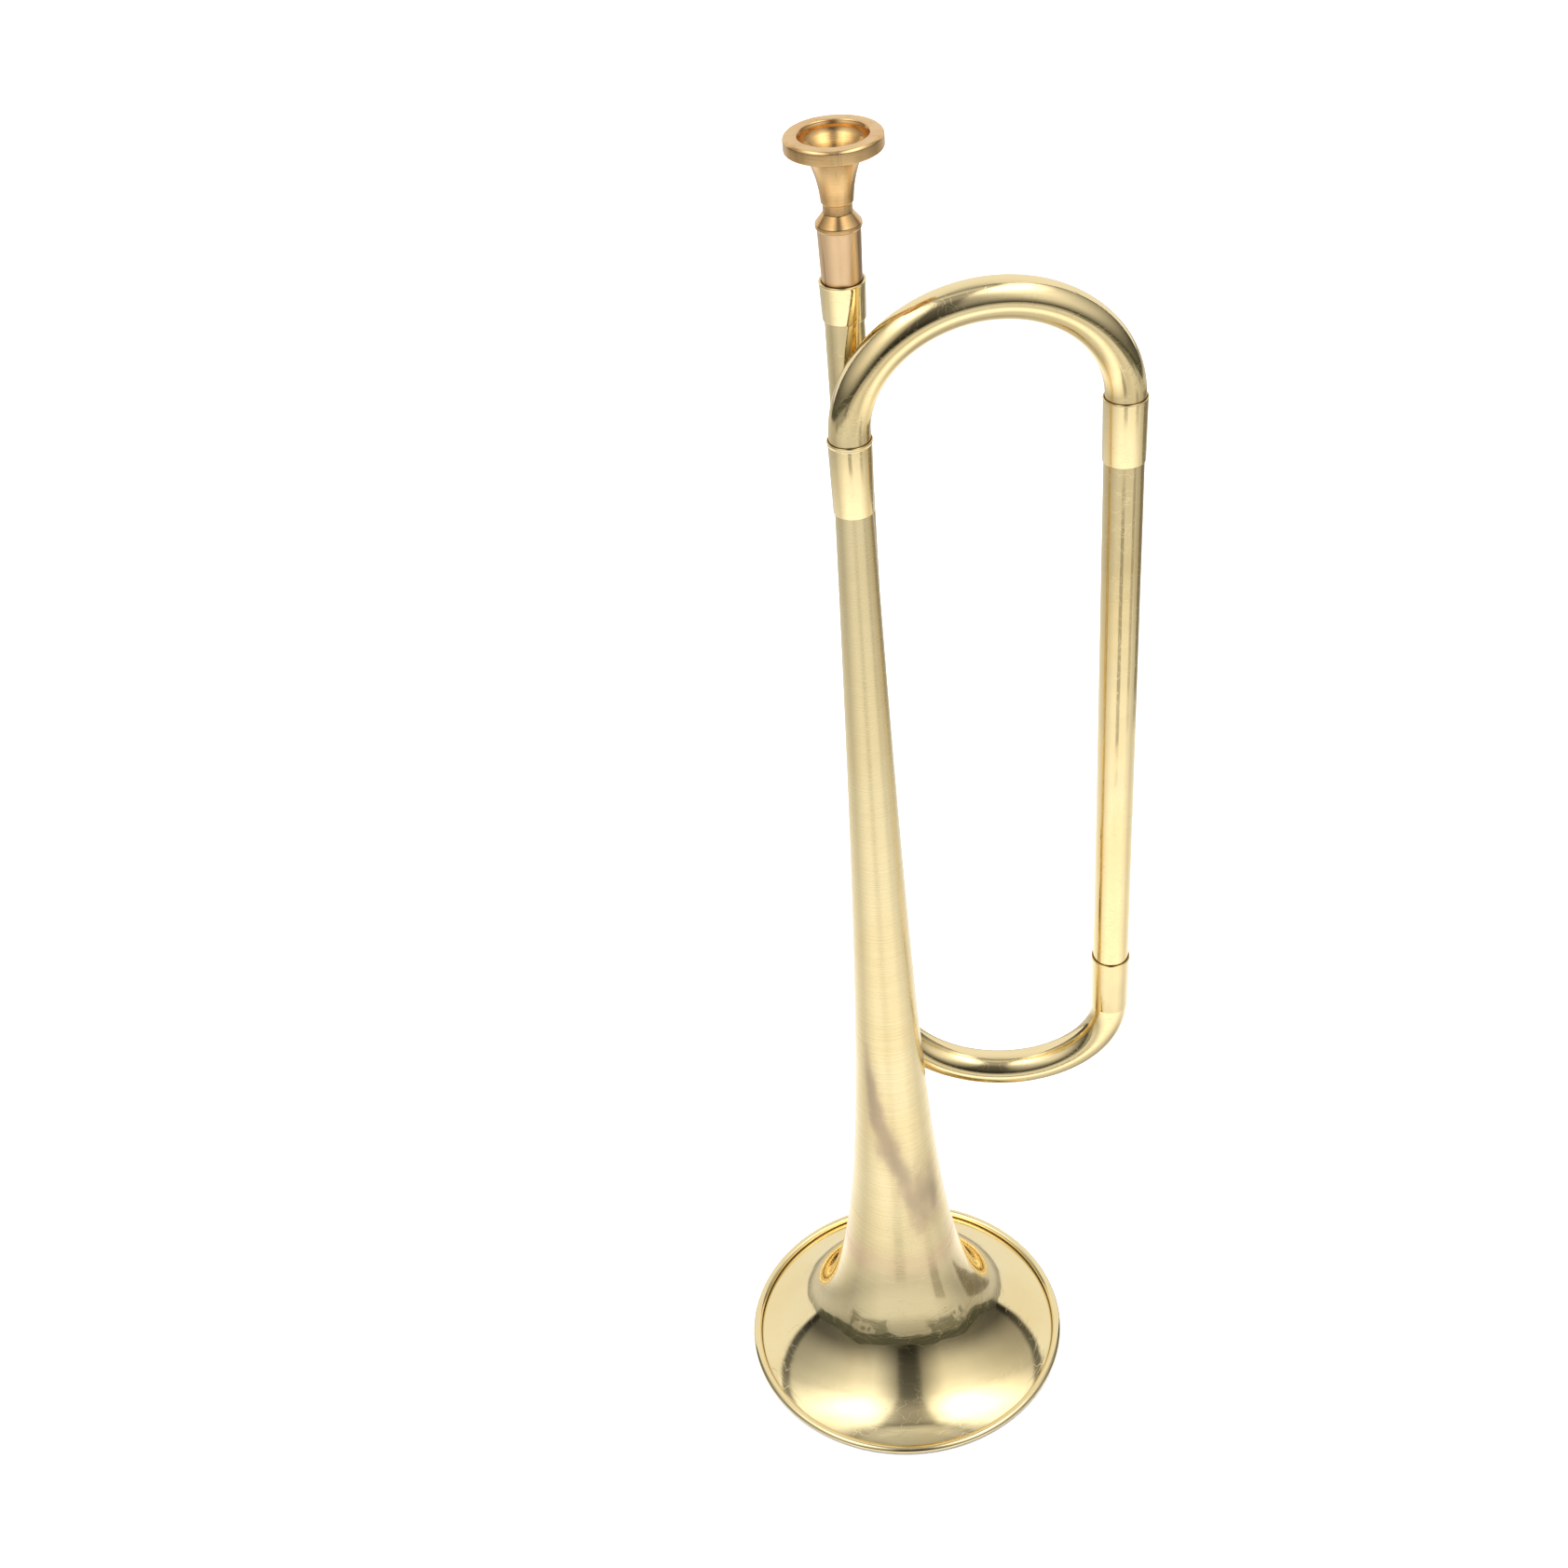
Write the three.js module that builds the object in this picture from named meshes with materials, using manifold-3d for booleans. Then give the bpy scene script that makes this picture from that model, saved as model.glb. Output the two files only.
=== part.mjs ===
// A valveless bugle in brass tube, standing on its bell mouth.
// Millimetres, +Z up along the bell axis. The origin is the centre of the object's box, on the plane
// that the bell rim rests on. Air runs mouthpiece, leadpipe, bottom bow, return tube, top bow, bell.
import * as THREE from 'three';
import { mergeVertices } from 'three/addons/utils/BufferGeometryUtils.js';
import Module from 'manifold-3d';

const wasm = await Module();
wasm.setup();

// ---- driving dimensions -------------------------------------------------------------------------
const OVERALL_HEIGHT = 438;
const WALL = 0.6;               // sheet and tube wall
const JOINT_GAP = 0.3;          // end gap where one tube butts on another inside a ferrule
const SOLDER_GAP = 0.15;        // clearance of a solder fillet to the metal it wets

const TUBE_RADIUS = 5.55;       // bows and return tube
const LEADPIPE_RADIUS = 5.2;
const RETURN_X = 73;            // return tube axis, from the bell axis
const RETURN_Y = 9;
const RETURN_TOP = 353;
const RETURN_FOOT = 157;

// Bell: a spun flare butted to a long stem. The mid-wall radius of both at z above the flare's foot
// is RADIUS (1 + z / LENGTH) ^ -EXPONENT - TAPER z.
const FLARE_RADIUS = 54.26;
const FLARE_LENGTH = 10.1;
const FLARE_EXPONENT = 0.573;
const STEM_TAPER = 0.0066;
const FLARE_TOP = 105;
const BELL_TOP = 352;

// Rim: the sheet is rolled outwards and back over a wire.
const CURL_CENTRE_RADIUS = 54.6;
const CURL_MIDDLE_RADIUS = 1.15; // mid-wall radius of the roll
const CURL_STEP = 30;           // degrees; one facet of the roll lies flat on the ground
const CURL_START = -105;
const CURL_END = 195;
const WIRE_RADIUS = 0.68;

// Bows: half an ellipse between two straight legs.
const TOP_BOW_SPRING = 362.5;   // height where the bend leaves the legs
const TOP_BOW_RISE = 32.3;
const BOTTOM_BOW_SPRING = 146;
const BOTTOM_BOW_DROP = 30;

// Leadpipe: leans from the bottom bow forwards to the root of the top bow, where it is soldered.
const LEAD_FOOT = new THREE.Vector3(1, 17.1, 153);      // two points on its axis
const LEAD_UPPER = new THREE.Vector3(1, 11.9, 376);
const LEAD_DIRECTION = LEAD_UPPER.clone().sub(LEAD_FOOT).normalize();
const LEAD_FOOT_GAP = 0.5;      // keeps the leaning foot clear of the bow's square end

// Ferrules: sleeves over the joints, a little wider at the upper lip.
const FERRULE_CLEARANCE = 0.1;
const FERRULE_LIP_RADIUS = 6.1;
const FERRULE_FOOT_RADIUS = 5.88;
const BELL_FERRULE_FOOT_RADIUS = 5.55;
const RECEIVER_FOOT_RADIUS = 5.65;
const TOP_FERRULE = [344, 362.5];
const BELL_FERRULE = [340.5, 361.5];
const LOWER_FERRULE = [146, 166.5];

// Receiver and mouthpiece, as distances along the leadpipe axis from its foot.
const MOUTH_RADIUS = 12.4;
const MOUTH_FLAT_RADIUS = 11.8; // outer edge of the flat on the mouthpiece rim
const RIM_TILT = Math.acos(LEAD_DIRECTION.z);
const RIM_TOP = (OVERALL_HEIGHT - LEAD_FOOT.z) / LEAD_DIRECTION.z - MOUTH_FLAT_RADIUS * Math.tan(RIM_TILT);
const RECEIVER_TOP = RIM_TOP - 37.5;
const RECEIVER_LENGTH = 10.3;
const RECEIVER_SOCKET = 3;      // length of leadpipe held in the receiver
const SHANK_DEPTH = 6.4;        // length of shank held in the receiver
const SHANK_CLEARANCE = 0.12;   // of the shank's end to the radius of the leadpipe
const SHANK_TAPER = 0.025;      // radius per length
const SHOULDER_RADIUS = 5.95;
const SHOULDER_BELOW_RIM = 23.6;
const CUP_RADIUS = 8.7;
const THROAT_RADIUS = 1.9;

// Solder: heights of the two drops and their half sizes.
const UPPER_SOLDER = { height: 373, size: new THREE.Vector3(3.4, 2.2, 5) };
const LOWER_SOLDER = { height: 156, size: new THREE.Vector3(4, 2.4, 6) };

// Facets round a turned part.
const BELL_SIDES = 40;
const TUBE_SIDES = 20;
const TURNED_SIDES = 28;
const BOW_STEPS = 22;

// ---- finishes -----------------------------------------------------------------------------------
const finish = (color, roughness) => new THREE.MeshStandardMaterial({ color, roughness, metalness: 1 });
const polishedBrass = () => finish(0xdcc47a, 0.15);
const satinBrass = () => finish(0xd3bd7c, 0.3);
const turnedBrass = () => finish(0xcf9f5f, 0.4);
const steelWire = () => finish(0x5d5348, 0.5);
const solder = () => finish(0x8f9396, 0.45);

// ---- helpers ------------------------------------------------------------------------------------
const degrees = (value) => (value * Math.PI) / 180;

// Turned solid about +Z from a closed outline of [radius, height] points, anticlockwise.
function turned(outline, sides) {
  const points = [...outline, outline[0]].map(([radius, height]) => new THREE.Vector2(radius, height));
  return new THREE.LatheGeometry(points, sides).rotateX(Math.PI / 2);
}

// Straight-bored sleeve about +Z: its outer radii at the foot and at the top, and its bore.
function sleeve(foot, top, outerFoot, outerTop, bore) {
  return turned([[bore, foot], [outerFoot, foot], [outerTop, top], [bore, top]], TUBE_SIDES);
}

function namedMesh(name, geometry, material) {
  const mesh = new THREE.Mesh(geometry, material);
  mesh.name = name;
  return mesh;
}

// Section of a tube: a ring, or a disc when there is no inner radius.
function tubeSection(outer, inner) {
  const ring = (radius) => Array.from({ length: TUBE_SIDES }, (_, side) => {
    const angle = (2 * Math.PI * side) / TUBE_SIDES;
    return new THREE.Vector2(radius * Math.cos(angle), radius * Math.sin(angle));
  });
  const shape = new THREE.Shape(ring(outer));
  if (inner) shape.holes.push(new THREE.Path(ring(inner)));
  return shape;
}

// Centre line of a bow: up (rise > 0) or down (rise < 0) between two legs that end at the given heights.
class BowCurve extends THREE.Curve {
  constructor({ start, end, spring, rise, startHeight, endHeight }) {
    super();
    Object.assign(this, { start, end, spring, rise, startHeight, endHeight });
    this.halfSpan = start.distanceTo(end) / 2;
    this.startLeg = Math.abs(spring - startHeight);
    this.endLeg = Math.abs(spring - endHeight);
    this.bend = (Math.PI * (this.halfSpan + Math.abs(rise))) / 2;
  }

  getPoint(t, target = new THREE.Vector3()) {
    const along = t * (this.startLeg + this.bend + this.endLeg);
    if (along <= this.startLeg) {
      const height = THREE.MathUtils.lerp(this.startHeight, this.spring, along / this.startLeg);
      return target.set(this.start.x, this.start.y, height);
    }
    if (along >= this.startLeg + this.bend) {
      const share = (along - this.startLeg - this.bend) / this.endLeg;
      return target.set(this.end.x, this.end.y, THREE.MathUtils.lerp(this.spring, this.endHeight, share));
    }
    const angle = (Math.PI * (along - this.startLeg)) / this.bend;
    const across = (1 - Math.cos(angle)) / 2;
    return target.set(
      THREE.MathUtils.lerp(this.start.x, this.end.x, across),
      THREE.MathUtils.lerp(this.start.y, this.end.y, across),
      this.spring + this.rise * Math.sin(angle),
    );
  }
}

function bow(curve, outer, inner) {
  return new THREE.ExtrudeGeometry(tubeSection(outer, inner), { steps: BOW_STEPS, extrudePath: curve });
}

// ---- booleans -----------------------------------------------------------------------------------
function toSolid(geometry) {
  const bare = geometry.clone();
  bare.deleteAttribute('normal');
  bare.deleteAttribute('uv');
  const merged = mergeVertices(bare, 1e-4);
  return new wasm.Manifold(new wasm.Mesh({
    numProp: 3,
    vertProperties: new Float32Array(merged.attributes.position.array),
    triVerts: new Uint32Array(merged.index.array),
  }));
}

function toGeometry(solid) {
  const { vertProperties, triVerts } = solid.getMesh();
  const geometry = new THREE.BufferGeometry();
  geometry.setAttribute('position', new THREE.BufferAttribute(vertProperties, 3));
  geometry.setIndex(new THREE.BufferAttribute(triVerts, 1));
  return geometry;
}

// A drop of solder: an ellipsoid with the pieces it joins cut out of it.
function solderDrop(centre, size, pieces) {
  const drop = new THREE.SphereGeometry(1, 16, 10).scale(...size.toArray()).translate(...centre.toArray());
  const cut = pieces.reduce((solid, piece) => solid.subtract(toSolid(piece)), toSolid(drop));
  return toGeometry(cut);
}

// ---- bell ---------------------------------------------------------------------------------------
// Height of the roll's centre over the ground, which is also how far its flat facets lie from that centre.
const curlHeight = CURL_MIDDLE_RADIUS * Math.cos(degrees(CURL_STEP / 2)) + WALL / 2;
const bellRadius = CURL_CENTRE_RADIUS + curlHeight;
const flareFoot = curlHeight + CURL_MIDDLE_RADIUS * Math.sin(degrees(CURL_START));

function flareMiddle(height) {
  const above = height - flareFoot;
  return FLARE_RADIUS * (1 + above / FLARE_LENGTH) ** -FLARE_EXPONENT - STEM_TAPER * above;
}

const bellOuter = (height) => flareMiddle(height) + WALL / 2;

// Mid-wall points of the bell from top down towards foot, crowded near the foot by the power.
function wallLine(top, foot, stations, power) {
  return Array.from({ length: stations }, (_, index) => {
    const height = foot + (top - foot) * ((stations - index) / stations) ** power;
    return new THREE.Vector2(flareMiddle(height), height);
  });
}

const stemLine = () => [
  ...wallLine(BELL_TOP, FLARE_TOP + JOINT_GAP, 7, 1.5),
  new THREE.Vector2(flareMiddle(FLARE_TOP + JOINT_GAP), FLARE_TOP + JOINT_GAP),
];

// Down the flare and round the roll.
function flareLine() {
  const line = wallLine(FLARE_TOP, flareFoot, 11, 1.9);
  for (let angle = CURL_START; angle <= CURL_END; angle += CURL_STEP) {
    line.push(new THREE.Vector2(
      CURL_CENTRE_RADIUS + CURL_MIDDLE_RADIUS * Math.cos(degrees(angle)),
      curlHeight + CURL_MIDDLE_RADIUS * Math.sin(degrees(angle)),
    ));
  }
  return line;
}

// Both faces of the sheet, offset from its mid-wall line. Corner offsets are mitred.
function sheetOutline(line) {
  const offset = (side) => line.map((point, index) => {
    const before = point.clone().sub(line[Math.max(index - 1, 0)]);
    const after = line[Math.min(index + 1, line.length - 1)].clone().sub(point);
    if (index === 0) before.copy(after);
    if (index === line.length - 1) after.copy(before);
    before.normalize();
    after.normalize();
    const normal = new THREE.Vector2(-(before.y + after.y), before.x + after.x).normalize();
    const mitre = 1 / normal.dot(new THREE.Vector2(-after.y, after.x));
    return [point.x + side * mitre * (WALL / 2) * normal.x, point.y + side * mitre * (WALL / 2) * normal.y];
  });
  return [...offset(-1), ...offset(1).reverse()];
}

function bellPiece(name, line) {
  return namedMesh(name, turned(sheetOutline(line), BELL_SIDES), satinBrass());
}

function rimWire() {
  const sides = 8;
  const outline = Array.from({ length: sides }, (_, side) => {
    const angle = (2 * Math.PI * side) / sides;
    return [CURL_CENTRE_RADIUS + WIRE_RADIUS * Math.cos(angle), curlHeight + WIRE_RADIUS * Math.sin(angle)];
  });
  return namedMesh('rim_wire', turned(outline, BELL_SIDES), steelWire());
}

// ---- loop ---------------------------------------------------------------------------------------
const bellAxis = new THREE.Vector2(0, 0);
const returnAxis = new THREE.Vector2(RETURN_X, RETURN_Y);
const leadFootAxis = new THREE.Vector2(LEAD_FOOT.x, LEAD_FOOT.y);

const topBowCurve = new BowCurve({
  start: bellAxis,
  end: returnAxis,
  spring: TOP_BOW_SPRING,
  rise: TOP_BOW_RISE,
  startHeight: BELL_TOP + JOINT_GAP,
  endHeight: RETURN_TOP + JOINT_GAP,
});
const bottomBowCurve = new BowCurve({
  start: leadFootAxis,
  end: returnAxis,
  spring: BOTTOM_BOW_SPRING,
  rise: -BOTTOM_BOW_DROP,
  startHeight: LEAD_FOOT.z,
  endHeight: RETURN_FOOT - JOINT_GAP,
});

function hollowBow(name, curve) {
  return namedMesh(name, bow(curve, TUBE_RADIUS, TUBE_RADIUS - WALL), polishedBrass());
}

function returnTube() {
  const tube = sleeve(RETURN_FOOT, RETURN_TOP, TUBE_RADIUS, TUBE_RADIUS, TUBE_RADIUS - WALL);
  return namedMesh('return_tube', tube, polishedBrass());
}

// Ferrule over a joint: an outer sleeve with a wider upper lip.
function ferrule(name, [foot, top], axis) {
  const bore = TUBE_RADIUS + FERRULE_CLEARANCE;
  const geometry = sleeve(foot, top, FERRULE_FOOT_RADIUS, FERRULE_LIP_RADIUS, bore);
  const mesh = namedMesh(name, geometry, polishedBrass());
  mesh.position.set(axis.x, axis.y, 0);
  return mesh;
}

// The bell's ferrule steps in below the bow's end to close on the narrower bell stem.
function bellFerrule() {
  const [foot, top] = BELL_FERRULE;
  const bowBore = TUBE_RADIUS + FERRULE_CLEARANCE;
  const stemBore = bellOuter(foot) + FERRULE_CLEARANCE;
  const shoulder = BELL_TOP + JOINT_GAP / 2;
  const outline = [
    [stemBore, foot],
    [BELL_FERRULE_FOOT_RADIUS, foot],
    [FERRULE_LIP_RADIUS, top],
    [bowBore, top],
    [bowBore, shoulder],
    [stemBore, shoulder],
  ];
  return namedMesh('bell_ferrule', turned(outline, TUBE_SIDES), polishedBrass());
}

// ---- leadpipe group: its own +Z runs up the leaning leadpipe ------------------------------------
const leadTop = RECEIVER_TOP - RECEIVER_LENGTH + RECEIVER_SOCKET;

function leadpipe() {
  const tube = sleeve(LEAD_FOOT_GAP, leadTop, LEADPIPE_RADIUS, LEADPIPE_RADIUS, LEADPIPE_RADIUS - WALL);
  return namedMesh('leadpipe', tube, polishedBrass());
}

function receiverFerrule() {
  const foot = RECEIVER_TOP - RECEIVER_LENGTH;
  const bore = LEADPIPE_RADIUS + FERRULE_CLEARANCE;
  const outline = [
    [bore, foot],
    [RECEIVER_FOOT_RADIUS, foot],
    [FERRULE_LIP_RADIUS, RECEIVER_TOP],
    [shankRadius(RECEIVER_TOP) + FERRULE_CLEARANCE, RECEIVER_TOP],
    [bore, leadTop + JOINT_GAP],
  ];
  return namedMesh('receiver_ferrule', turned(outline, TURNED_SIDES), polishedBrass());
}

// The shank tapers evenly from the shoulder to its end in the receiver.
function shankRadius(height) {
  const aboveEnd = height - (RECEIVER_TOP - SHANK_DEPTH);
  return LEADPIPE_RADIUS - SHANK_CLEARANCE + SHANK_TAPER * aboveEnd;
}

// One turned piece: rim, cup, neck with a fine groove, chamfered shoulder and tapered shank.
function mouthpiece() {
  const below = (distance) => RIM_TOP - distance;
  const shankEnd = RECEIVER_TOP - SHANK_DEPTH;
  const shoulder = below(SHOULDER_BELOW_RIM);
  const outline = [
    [THROAT_RADIUS + 1.5, shankEnd],
    [shankRadius(shankEnd) - 0.2, shankEnd],
    [shankRadius(shankEnd + 0.4), shankEnd + 0.4],
    [shankRadius(shoulder), shoulder],
    [SHOULDER_RADIUS, shoulder + 0.3],
    [SHOULDER_RADIUS, shoulder + 1.3],
    [3.8, below(19.6)],
    [3.7, below(17.2)],
    [4.15, below(16.9)],
    [4.5, below(13.6)],
    [5.1, below(10.6)],
    [6.1, below(7.4)],
    [7.4, below(4.6)],
    [8.3, below(3.7)],
    [11.9, below(3.7)],
    [MOUTH_RADIUS, below(3.2)],
    [MOUTH_RADIUS, below(0.8)],
    [MOUTH_FLAT_RADIUS, below(0)],
    [CUP_RADIUS + 0.3, below(0)],
    [CUP_RADIUS, below(0.4)],
    [CUP_RADIUS - 0.5, below(1.5)],
    [7.3, below(2.6)],
    [6.2, below(4.7)],
    [4.9, below(7.4)],
    [3.4, below(10.6)],
    [2.3, below(13.2)],
    [THROAT_RADIUS, below(15.6)],
    [THROAT_RADIUS, below(21)],
  ];
  return namedMesh('mouthpiece', turned(outline, TURNED_SIDES), turnedBrass());
}

const leadGroup = new THREE.Group();
leadGroup.position.copy(LEAD_FOOT);
leadGroup.quaternion.setFromUnitVectors(new THREE.Vector3(0, 0, 1), LEAD_DIRECTION);
leadGroup.add(leadpipe(), receiverFerrule(), mouthpiece());

// ---- solder fillets -----------------------------------------------------------------------------
function grownLeadpipe() {
  const radius = LEADPIPE_RADIUS + SOLDER_GAP;
  const rod = new THREE.CylinderGeometry(radius, radius, leadTop - LEAD_FOOT_GAP, TUBE_SIDES);
  rod.rotateX(Math.PI / 2).translate(0, 0, (leadTop + LEAD_FOOT_GAP) / 2);
  return rod.applyQuaternion(leadGroup.quaternion).translate(...LEAD_FOOT.toArray());
}

// Where the leadpipe crosses the root of the top bow: halfway between the two axes.
function upperSolder() {
  const { height, size } = UPPER_SOLDER;
  const share = (height - LEAD_FOOT.z) / (LEAD_UPPER.z - LEAD_FOOT.z);
  const onLead = LEAD_FOOT.clone().lerp(LEAD_UPPER, share);
  const across = (1 - Math.sqrt(1 - ((height - TOP_BOW_SPRING) / TOP_BOW_RISE) ** 2)) / 2;
  const onBow = new THREE.Vector3(RETURN_X * across, RETURN_Y * across, height);
  const pieces = [grownLeadpipe(), bow(topBowCurve, TUBE_RADIUS + SOLDER_GAP)];
  return namedMesh('upper_solder', solderDrop(onLead.lerp(onBow, 0.5), size, pieces), solder());
}

// Where the lower left ferrule lies against the bell stem.
function lowerSolder() {
  const { height, size } = LOWER_SOLDER;
  const reach = 2 * size.z;
  const grownBell = (level) => [bellOuter(level) + SOLDER_GAP, level];
  const stem = turned([
    [0, height - reach],
    grownBell(height - reach),
    grownBell(height),
    grownBell(height + reach),
    [0, height + reach],
  ], BELL_SIDES);
  const radius = FERRULE_LIP_RADIUS + SOLDER_GAP;
  const sleeveRod = new THREE.CylinderGeometry(radius, radius, 2 * reach, TUBE_SIDES)
    .rotateX(Math.PI / 2).translate(LEAD_FOOT.x, LEAD_FOOT.y, height);
  const betweenY = (bellOuter(height) + LEAD_FOOT.y - radius) / 2;
  const centre = new THREE.Vector3(LEAD_FOOT.x / 2, betweenY, height);
  return namedMesh('lower_solder', solderDrop(centre, size, [stem, sleeveRod]), solder());
}

// ---- assembly -----------------------------------------------------------------------------------
const tubeGroup = new THREE.Group();
const returnMesh = returnTube();
returnMesh.position.set(RETURN_X, RETURN_Y, 0);
tubeGroup.add(
  hollowBow('top_bow', topBowCurve),
  hollowBow('bottom_bow', bottomBowCurve),
  returnMesh,
  bellFerrule(),
  ferrule('upper_right_ferrule', TOP_FERRULE, returnAxis),
  ferrule('lower_right_ferrule', LOWER_FERRULE, returnAxis),
  ferrule('lower_left_ferrule', LOWER_FERRULE, leadFootAxis),
);

const bugle = new THREE.Group();
bugle.position.x = (bellRadius - RETURN_X - FERRULE_LIP_RADIUS) / 2;
bugle.add(bellPiece('bell_stem', stemLine()), bellPiece('bell_flare', flareLine()), rimWire());
bugle.add(tubeGroup, leadGroup, upperSolder(), lowerSolder());

export default bugle;
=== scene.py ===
"""Looks of a valveless brass bugle that stands on its bell mouth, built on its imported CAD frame."""
from math import atan2, cos, pi, radians, sin, tan

import bpy
from mathutils import Matrix, Vector


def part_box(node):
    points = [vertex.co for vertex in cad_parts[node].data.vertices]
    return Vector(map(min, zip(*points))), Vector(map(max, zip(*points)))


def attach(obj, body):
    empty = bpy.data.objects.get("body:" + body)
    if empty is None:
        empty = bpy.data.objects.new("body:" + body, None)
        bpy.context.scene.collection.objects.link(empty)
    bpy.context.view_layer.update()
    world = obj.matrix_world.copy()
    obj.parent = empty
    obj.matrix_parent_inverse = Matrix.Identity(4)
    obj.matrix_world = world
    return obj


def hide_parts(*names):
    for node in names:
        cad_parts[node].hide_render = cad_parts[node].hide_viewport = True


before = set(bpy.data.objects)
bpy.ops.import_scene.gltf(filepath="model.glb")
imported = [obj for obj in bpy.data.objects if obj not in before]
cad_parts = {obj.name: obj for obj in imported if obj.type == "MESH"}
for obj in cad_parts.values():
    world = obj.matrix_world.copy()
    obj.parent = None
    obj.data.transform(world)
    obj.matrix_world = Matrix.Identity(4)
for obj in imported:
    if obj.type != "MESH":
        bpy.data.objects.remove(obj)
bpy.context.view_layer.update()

MM = 0.001

# ---- dimensions, in millimetres, as the CAD has them ------------------------------------------------
OVERALL_HEIGHT = 438
WALL = 0.6
TUBE_RADIUS = 5.55
LEADPIPE_RADIUS = 5.2
JOINT_GAP = 0.3
CLEARANCE = 0.1

FLARE_RADIUS = 54.26
FLARE_LENGTH = 10.1
FLARE_EXPONENT = 0.573
STEM_TAPER = 0.0066
BELL_TOP = 352
CURL_CENTRE_RADIUS = 54.6
CURL_HEIGHT = 1.4108
CURL_START = -105
CURL_END = 195
WIRE_RADIUS = 0.68

TOP_BOW_SPRING = 362.5
TOP_BOW_RISE = 32.3
BOTTOM_BOW_SPRING = 146
BOTTOM_BOW_DROP = 30
RETURN_TOP = 353
RETURN_FOOT = 157

LEAD_LEAN = atan2(5.2, 223)      # leadpipe off the vertical, towards -Y as it rises
LEAD_FOOT_HEIGHT = 153
LEAD_FOOT_OFFSET = Vector((1, 17.1))
LIP_RADIUS = 6.1
FERRULE_FOOT_RADIUS = 5.88
BELL_FERRULE_FOOT_RADIUS = 5.55
RECEIVER_FOOT_RADIUS = 5.65

MOUTH_RADIUS = 12.4
MOUTH_FLAT_RADIUS = 11.8
CUP_RADIUS = 8.7
THROAT_RADIUS = 1.9
RIM_TOP = (OVERALL_HEIGHT - LEAD_FOOT_HEIGHT) / cos(LEAD_LEAN) - MOUTH_FLAT_RADIUS * tan(LEAD_LEAN)
RECEIVER_TOP = RIM_TOP - 37.5
RECEIVER_LENGTH = 10.3
RECEIVER_SOCKET = 3
SHANK_DEPTH = 6.4
SHOULDER_BELOW_RIM = 23.6
LEAD_TOP = RECEIVER_TOP - RECEIVER_LENGTH + RECEIVER_SOCKET

# Smoothness of the visual pieces.
TUBE_SIDES = 96
BELL_SIDES = 192
BOW_STEPS = 160
SHARP_ANGLE = radians(38)


def box_centre(node):
    low, high = (Vector(corner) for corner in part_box(node))
    return (low + high) / 2


def box_range(node, axis=2):
    low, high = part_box(node)
    return low[axis] / MM, high[axis] / MM


BELL_AXIS = box_centre("bell_flare").xy / MM
RETURN_AXIS = box_centre("return_tube").xy / MM
LEAD_FOOT = Vector((*(BELL_AXIS + LEAD_FOOT_OFFSET), LEAD_FOOT_HEIGHT))
LEAD_PLACE = Matrix.Translation(LEAD_FOOT * MM) @ Matrix.Rotation(LEAD_LEAN, 4, "X")


def upright(axis):
    return Matrix.Translation((axis.x * MM, axis.y * MM, 0))


# ---- mesh helpers -----------------------------------------------------------------------------------
def mesh_piece(name, nodes, body, material, rings, closed_length, place=None, tube=None):
    """A closed mesh from rings of points, each ring joined to the next. tube gives each point's place on
    the straightened tube, for the materials."""
    count = len(rings[0])
    points = [point for ring in rings for point in ring]
    faces = []
    spans = len(rings) if closed_length else len(rings) - 1
    for ring in range(spans):
        low, high = ring * count, ((ring + 1) % len(rings)) * count
        for side in range(count):
            after = (side + 1) % count
            faces.append((low + side, low + after, high + after, high + side))
    mesh = bpy.data.meshes.new(name)
    mesh.from_pydata([[value * MM for value in point] for point in points], [], faces)
    along = mesh.attributes.new("tube", "FLOAT_VECTOR", "POINT")
    flat = [value * MM for ring in (tube or rings) for point in ring for value in point]
    along.data.foreach_set("vector", flat)
    mesh.shade_smooth()
    mesh.set_sharp_from_angle(angle=SHARP_ANGLE)
    mesh.materials.append(material)
    piece = bpy.data.objects.new(name, mesh)
    bpy.context.scene.collection.objects.link(piece)
    if place is not None:
        piece.matrix_world = place
    bpy.context.view_layer.update()
    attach(piece, body)
    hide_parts(*nodes)
    return piece


def turned(name, outline, place, material, sides=TUBE_SIDES, body="horn", nodes=None):
    """Turned piece about its own +Z, from a closed outline of (radius, height), anticlockwise."""
    rings = []
    for radius, height in outline:
        angles = (2 * pi * side / sides for side in range(sides))
        rings.append([(radius * cos(angle), radius * sin(angle), height) for angle in angles])
    return mesh_piece(name, nodes or [name], body, material, rings[::-1], True, place)


def softened(outline, radius=0.12, steps=3):
    """The closed outline with each corner rounded off."""
    result = []
    count = len(outline)
    for index, corner in enumerate(outline):
        corner = Vector(corner)
        back = Vector(outline[index - 1]) - corner
        onward = Vector(outline[(index + 1) % count]) - corner
        if abs(back.normalized().dot(onward.normalized())) > 0.985:
            result.append(tuple(corner))
            continue
        reach = min(radius, 0.4 * back.length, 0.4 * onward.length)
        start = corner + back.normalized() * reach
        end = corner + onward.normalized() * reach
        for step in range(steps + 1):
            share = step / steps
            blend = start.lerp(corner, share).lerp(corner.lerp(end, share), share)
            result.append(tuple(blend))
    return result


def through(points, steps=6):
    """A smooth line through the points."""
    points = [Vector(point) for point in points]
    padded = [2 * points[0] - points[1], *points, 2 * points[-1] - points[-2]]
    line = []
    for index in range(1, len(padded) - 2):
        a, b, c, d = padded[index - 1:index + 3]
        for step in range(steps):
            t = step / steps
            line.append(tuple(0.5 * (2 * b + (c - a) * t + (2 * a - 5 * b + 4 * c - d) * t ** 2
                                     + (3 * b - a - 3 * c + d) * t ** 3)))
    line.append(tuple(points[-1]))
    return line


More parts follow.
